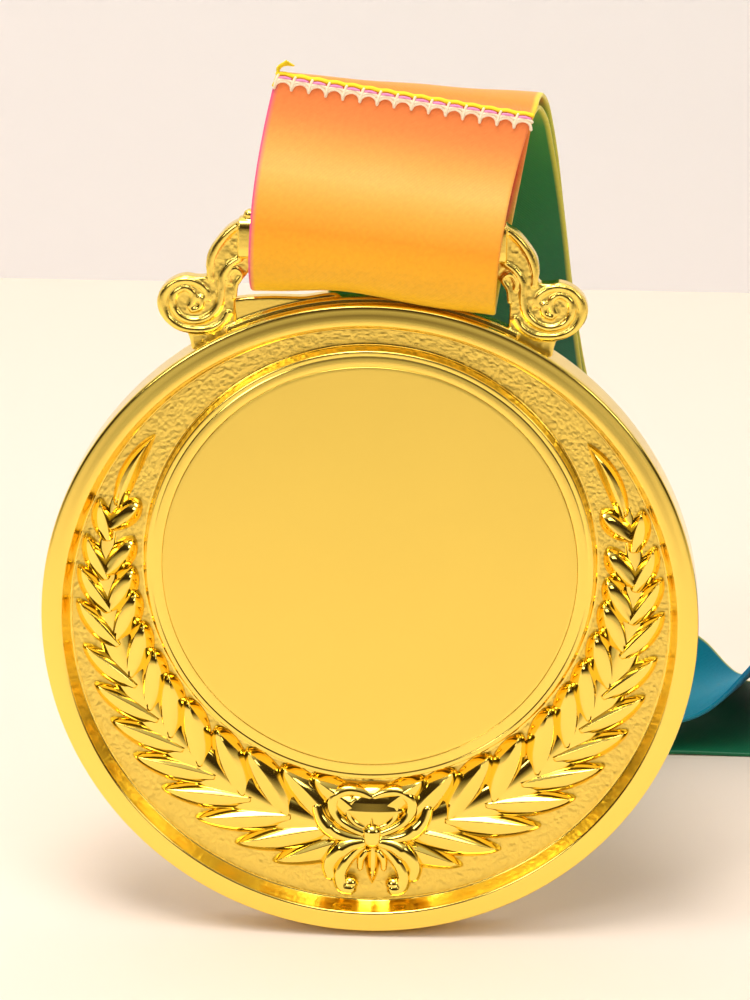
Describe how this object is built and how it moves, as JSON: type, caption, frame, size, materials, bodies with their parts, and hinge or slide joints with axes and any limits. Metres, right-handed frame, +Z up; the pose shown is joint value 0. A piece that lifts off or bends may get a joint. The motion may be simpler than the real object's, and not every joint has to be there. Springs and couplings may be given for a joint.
{
  "type": "award medal on a neck ribbon",
  "caption": "Round gilt award medal with a laurel wreath in relief round a blank centre plate, hung by a scrolled slot bracket in the seamed loop of a folded satin neck ribbon.",
  "frame": {"origin": "the point where the medal's rim touches the table, below the middle of the disc", "axes": "+Z up, the medal's face looks along -Y (leaning back 8 degrees), +X to the right of the face"},
  "size_m": [0.1539, 0.0664, 0.0878],
  "materials": {
    "gilt_casting": "bright gold plating on a die casting, with a sand-grained field",
    "gilt_relief": "mirror-bright gold plating on the raised wreath",
    "satin_plate": "fine satin gold anodising",
    "adhesive_film": "thin clear double-sided film",
    "satin_ribbon": "dyed polyester satin, orange to yellow on one length, green to teal on the other",
    "sewing_thread": "polyester overlock thread, cream and yellow"
  },
  "bodies": {
    "ribbon": {"ribbon_loop": "satin_ribbon", "ribbon_rear_length": "satin_ribbon", "ribbon_front_length": "satin_ribbon", "ribbon_neck_folds": "satin_ribbon", "seam_looper_thread": "sewing_thread", "seam_needle_thread": "sewing_thread", "seam_thread_tail": "sewing_thread"},
    "medal": {"medal_disc": "gilt_casting", "hanger_bracket": "gilt_casting", "laurel_branch_left": "gilt_relief", "laurel_branch_right": "gilt_relief", "laurel_bow": "gilt_relief", "centre_plate": "satin_plate", "plate_adhesive": "adhesive_film"}
  },
  "joints": [
    {"name": "medal_swing", "type": "hinge", "parent": "ribbon", "child": "medal", "pos_m": [0, 0.00783, 0.07059], "axis": [-1, 0, 0], "range_deg": [-10, 90]}
  ]
}
